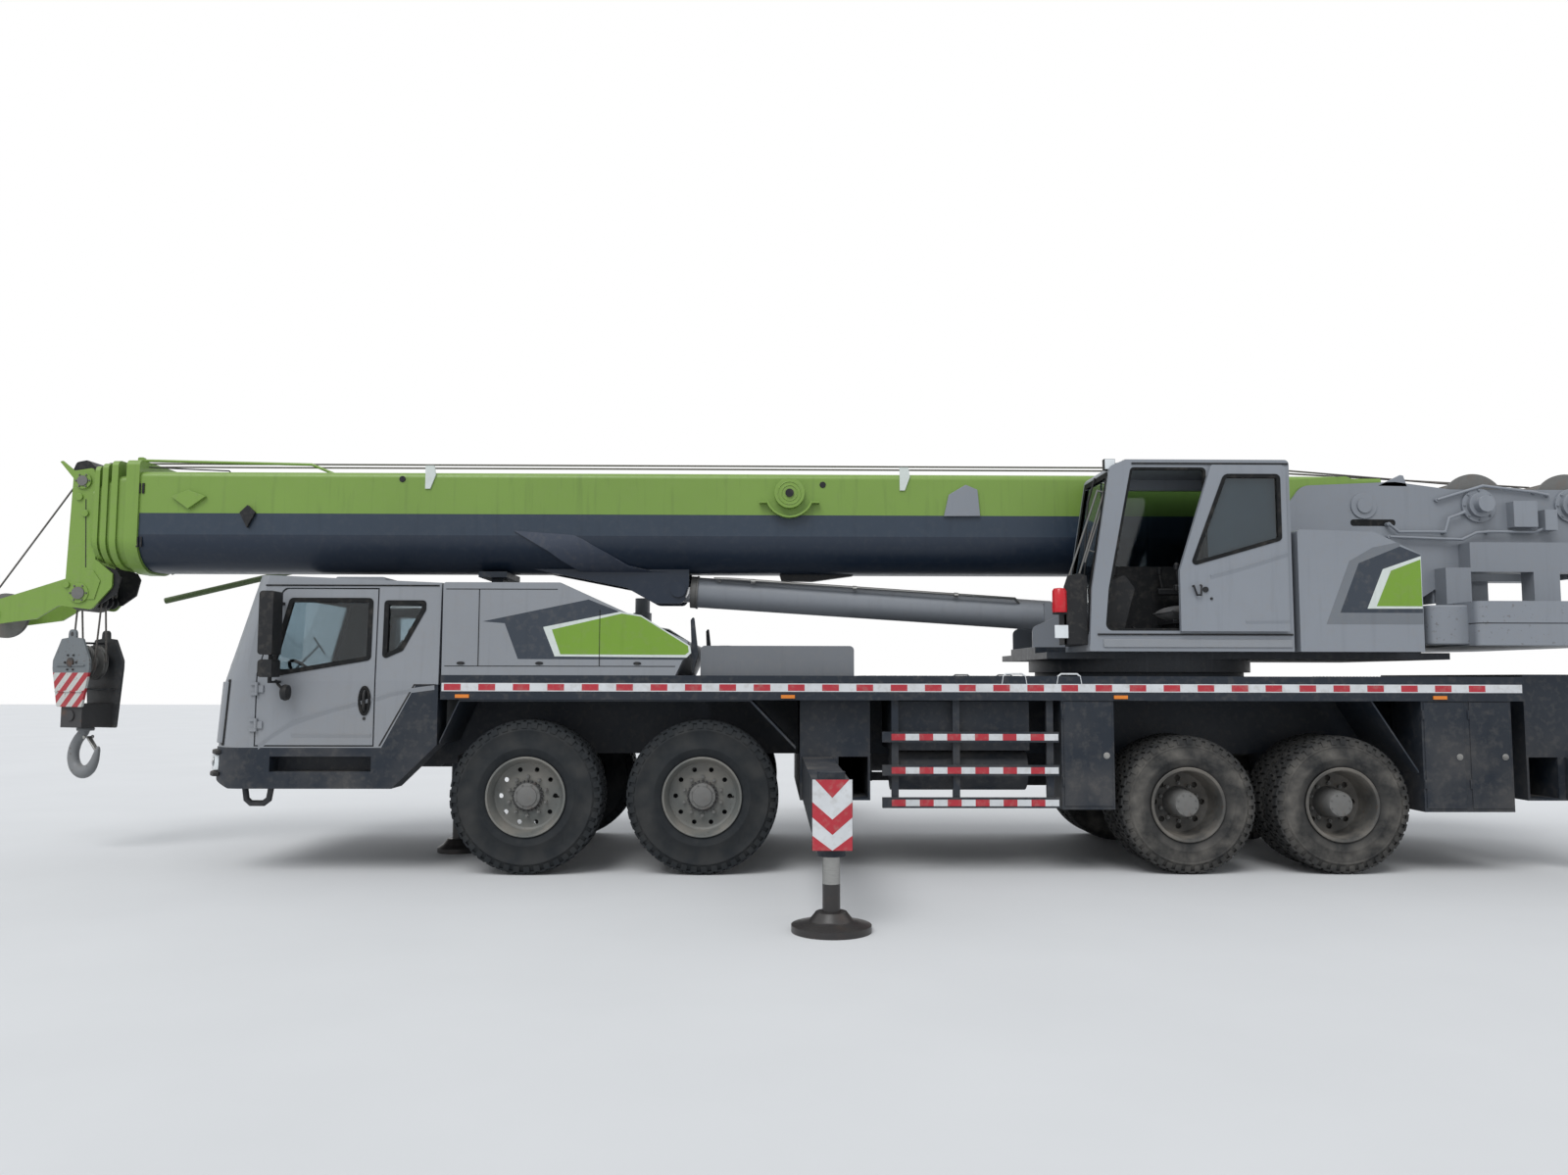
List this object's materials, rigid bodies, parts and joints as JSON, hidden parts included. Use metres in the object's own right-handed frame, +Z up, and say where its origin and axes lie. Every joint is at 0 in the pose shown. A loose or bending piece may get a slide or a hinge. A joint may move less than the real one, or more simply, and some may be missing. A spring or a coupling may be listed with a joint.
{
  "type": "mobile crane",
  "caption": "Road-going truck crane with a telescopic boom, slewing upper structure, outriggers and a hook block hung from the boom's head.",
  "frame": {"origin": "on the ground under the middle of the crane's overall length and width", "axes": "+X towards the rear of the carrier, +Y towards its right side, +Z up"},
  "size_m": [15.8999, 7.64, 3.78],
  "materials": {
    "body_grey": "satin",
    "frame_dark": "satin",
    "boom_green": "gloss",
    "upper_grey": "satin",
    "rim_grey": "satin",
    "tyre": "matt",
    "glass": "clear",
    "trim_black": "matt",
    "lens": "gloss",
    "steel": "satin",
    "chrome": "polished",
    "seat_cloth": "woven",
    "cast_dark": "rough"
  },
  "bodies": {
    "carrier": {"chassis": "frame_dark", "deck": "frame_dark", "fenders": "trim_black", "lockers": "frame_dark", "side_rails": "frame_dark", "axles_front": "cast_dark", "axles_rear": "cast_dark", "cab_shell": "body_grey", "cab_glass": "glass", "cab_inside": "seat_cloth", "bumper": "frame_dark", "lamps": "lens", "engine_hood": "body_grey", "engine_block": "cast_dark", "deck_gear": "upper_grey", "boom_rest": "body_grey"},
    "upper": {"turntable": "upper_grey", "winch_drums": "steel", "counterweight": "upper_grey", "cover_box": "body_grey", "operator_cab": "body_grey", "operator_glass": "glass", "operator_inside": "seat_cloth"},
    "operator_door": {"operator_door": "body_grey"},
    "luff_barrel": {"luff_barrel": "upper_grey"},
    "luff_rod": {"luff_rod": "chrome"},
    "boom_base": {"boom_base": "boom_green", "jib": "boom_green"},
    "boom_two": {"boom_two": "boom_green"},
    "boom_three": {"boom_three": "boom_green"},
    "boom_four": {"boom_four": "boom_green"},
    "boom_head": {"boom_head": "boom_green", "head_sheaves": "steel"},
    "hook_block": {"hook_block": "steel"},
    "hook": {"hook": "cast_dark"},
    "wheel_one_left": {"wheel_one_left": "tyre"},
    "knuckle_one_left": {"knuckle_one_left": "cast_dark"},
    "wheel_one_right": {"wheel_one_right": "tyre"},
    "knuckle_one_right": {"knuckle_one_right": "cast_dark"},
    "wheel_two_left": {"wheel_two_left": "tyre"},
    "knuckle_two_left": {"knuckle_two_left": "cast_dark"},
    "wheel_two_right": {"wheel_two_right": "tyre"},
    "knuckle_two_right": {"knuckle_two_right": "cast_dark"},
    "wheel_three_left": {"wheel_three_left": "tyre"},
    "wheel_three_right": {"wheel_three_right": "tyre"},
    "wheel_four_left": {"wheel_four_left": "tyre"},
    "wheel_four_right": {"wheel_four_right": "tyre"},
    "beam_front_left": {"beam_front_left": "frame_dark"},
    "jack_front_left": {"jack_front_left": "steel"},
    "beam_front_right": {"beam_front_right": "frame_dark"},
    "jack_front_right": {"jack_front_right": "steel"},
    "beam_rear_left": {"beam_rear_left": "frame_dark"},
    "jack_rear_left": {"jack_rear_left": "steel"},
    "beam_rear_right": {"beam_rear_right": "frame_dark"},
    "jack_rear_right": {"jack_rear_right": "steel"},
    "jack_nose": {"jack_nose": "steel"},
    "door_left": {"door_left": "body_grey", "mirrors_left": "trim_black"},
    "door_right": {"door_right": "body_grey", "mirrors_right": "trim_black"}
  },
  "joints": [
    {"name": "steer_one_left", "type": "hinge", "parent": "carrier", "child": "knuckle_one_left", "pos_m": [-2.3, -1, 0.665], "axis": [0, 0, 1], "range_deg": [-32, 32]},
    {"name": "spin_one_left", "type": "hinge", "parent": "knuckle_one_left", "child": "wheel_one_left", "pos_m": [-2.3, -1.2, 0.665], "axis": [0, 1, 0], "continuous": true},
    {"name": "steer_one_right", "type": "hinge", "parent": "carrier", "child": "knuckle_one_right", "pos_m": [-2.3, 1, 0.665], "axis": [0, 0, 1], "range_deg": [-32, 32]},
    {"name": "spin_one_right", "type": "hinge", "parent": "knuckle_one_right", "child": "wheel_one_right", "pos_m": [-2.3, 1.2, 0.665], "axis": [0, 1, 0], "continuous": true},
    {"name": "steer_two_left", "type": "hinge", "parent": "carrier", "child": "knuckle_two_left", "pos_m": [-0.78, -1, 0.665], "axis": [0, 0, 1], "range_deg": [-22.4, 22.4]},
    {"name": "spin_two_left", "type": "hinge", "parent": "knuckle_two_left", "child": "wheel_two_left", "pos_m": [-0.78, -1.2, 0.665], "axis": [0, 1, 0], "continuous": true},
    {"name": "steer_two_right", "type": "hinge", "parent": "carrier", "child": "knuckle_two_right", "pos_m": [-0.78, 1, 0.665], "axis": [0, 0, 1], "range_deg": [-22.4, 22.4]},
    {"name": "spin_two_right", "type": "hinge", "parent": "knuckle_two_right", "child": "wheel_two_right", "pos_m": [-0.78, 1.2, 0.665], "axis": [0, 1, 0], "continuous": true},
    {"name": "spin_three_left", "type": "hinge", "parent": "carrier", "child": "wheel_three_left", "pos_m": [3.445, -1.2, 0.598], "axis": [0, 1, 0], "continuous": true},
    {"name": "spin_three_right", "type": "hinge", "parent": "carrier", "child": "wheel_three_right", "pos_m": [3.445, 1.2, 0.598], "axis": [0, 1, 0], "continuous": true},
    {"name": "spin_four_left", "type": "hinge", "parent": "carrier", "child": "wheel_four_left", "pos_m": [4.795, -1.2, 0.598], "axis": [0, 1, 0], "continuous": true},
    {"name": "spin_four_right", "type": "hinge", "parent": "carrier", "child": "wheel_four_right", "pos_m": [4.795, 1.2, 0.598], "axis": [0, 1, 0], "continuous": true},
    {"name": "beam_front_left_slide", "type": "slide", "parent": "carrier", "child": "beam_front_left", "axis": [0, -1, 0], "range_m": [-2.24, 0]},
    {"name": "jack_front_left_slide", "type": "slide", "parent": "beam_front_left", "child": "jack_front_left", "axis": [0, 0, -1], "range_m": [-0.36, 0.15]},
    {"name": "beam_front_right_slide", "type": "slide", "parent": "carrier", "child": "beam_front_right", "axis": [0, 1, 0], "range_m": [-2.24, 0]},
    {"name": "jack_front_right_slide", "type": "slide", "parent": "beam_front_right", "child": "jack_front_right", "axis": [0, 0, -1], "range_m": [-0.36, 0.15]},
    {"name": "beam_rear_left_slide", "type": "slide", "parent": "carrier", "child": "beam_rear_left", "axis": [0, -1, 0], "range_m": [-2.24, 0]},
    {"name": "jack_rear_left_slide", "type": "slide", "parent": "beam_rear_left", "child": "jack_rear_left", "axis": [0, 0, -1], "range_m": [-0.36, 0.15]},
    {"name": "beam_rear_right_slide", "type": "slide", "parent": "carrier", "child": "beam_rear_right", "axis": [0, 1, 0], "range_m": [-2.24, 0]},
    {"name": "jack_rear_right_slide", "type": "slide", "parent": "beam_rear_right", "child": "jack_rear_right", "axis": [0, 0, -1], "range_m": [-0.36, 0.15]},
    {"name": "jack_nose_slide", "type": "slide", "parent": "carrier", "child": "jack_nose", "axis": [0, 0, -1], "range_m": [-0.28, 0.12]},
    {"name": "door_left_hinge", "type": "hinge", "parent": "carrier", "child": "door_left", "pos_m": [-4.624, -1.406, 1.4], "axis": [0, 0, -1], "range_deg": [0, 70]},
    {"name": "door_right_hinge", "type": "hinge", "parent": "carrier", "child": "door_right", "pos_m": [-4.624, 1.406, 1.4], "axis": [0, 0, 1], "range_deg": [0, 70]},
    {"name": "slew", "type": "hinge", "parent": "carrier", "child": "upper", "pos_m": [3.45, 0, 1.8], "axis": [0, 0, 1], "continuous": true},
    {"name": "operator_door_slide", "type": "slide", "parent": "upper", "child": "operator_door", "axis": [1, 0, 0], "range_m": [-0.66, 0]},
    {"name": "luff", "type": "hinge", "parent": "upper", "child": "boom_base", "pos_m": [5.544, 0, 3.363], "axis": [0, 1, 0], "range_deg": [0, 80]},
    {"name": "luff_barrel_swing", "type": "hinge", "parent": "upper", "child": "luff_barrel", "pos_m": [2.8, 0, 2.3], "axis": [0, 1, 0], "range_deg": [0, 92.88]},
    {"name": "luff_rod_slide", "type": "slide", "parent": "luff_barrel", "child": "luff_rod", "axis": [-0.9979, 0, 0.0641], "range_m": [0, 3.6088]},
    {"name": "telescope", "type": "slide", "parent": "boom_base", "child": "boom_two", "axis": [-1, 0, 0], "range_m": [0, 8]},
    {"name": "boom_three_slide", "type": "slide", "parent": "boom_two", "child": "boom_three", "axis": [-1, 0, 0], "range_m": [0, 8]},
    {"name": "boom_four_slide", "type": "slide", "parent": "boom_three", "child": "boom_four", "axis": [-1, 0, 0], "range_m": [0, 8]},
    {"name": "boom_head_slide", "type": "slide", "parent": "boom_four", "child": "boom_head", "axis": [-1, 0, 0], "range_m": [0, 8]},
    {"name": "hook_block_swing", "type": "hinge", "parent": "boom_head", "child": "hook_block", "pos_m": [-6.9, 0, 2.5], "axis": [0, 1, 0], "range_deg": [-80, 0]},
    {"name": "hook_swivel", "type": "hinge", "parent": "hook_block", "child": "hook", "pos_m": [-6.9, 0, 1.2], "axis": [0, 0, 1], "continuous": true}
  ],
  "couplings": [
    {"joint": "steer_one_right", "follows": "steer_one_left", "ratio": 1},
    {"joint": "steer_two_left", "follows": "steer_one_left", "ratio": 0.7},
    {"joint": "steer_two_right", "follows": "steer_one_left", "ratio": 0.7},
    {"joint": "luff_barrel_swing", "follows": "luff", "ratio": 1.1547},
    {"joint": "luff_rod_slide", "follows": "luff", "m_per_rad": 2.5774},
    {"joint": "boom_three_slide", "follows": "telescope", "ratio": 1},
    {"joint": "boom_four_slide", "follows": "telescope", "ratio": 1},
    {"joint": "boom_head_slide", "follows": "telescope", "ratio": 1},
    {"joint": "hook_block_swing", "follows": "luff", "ratio": -1}
  ]
}
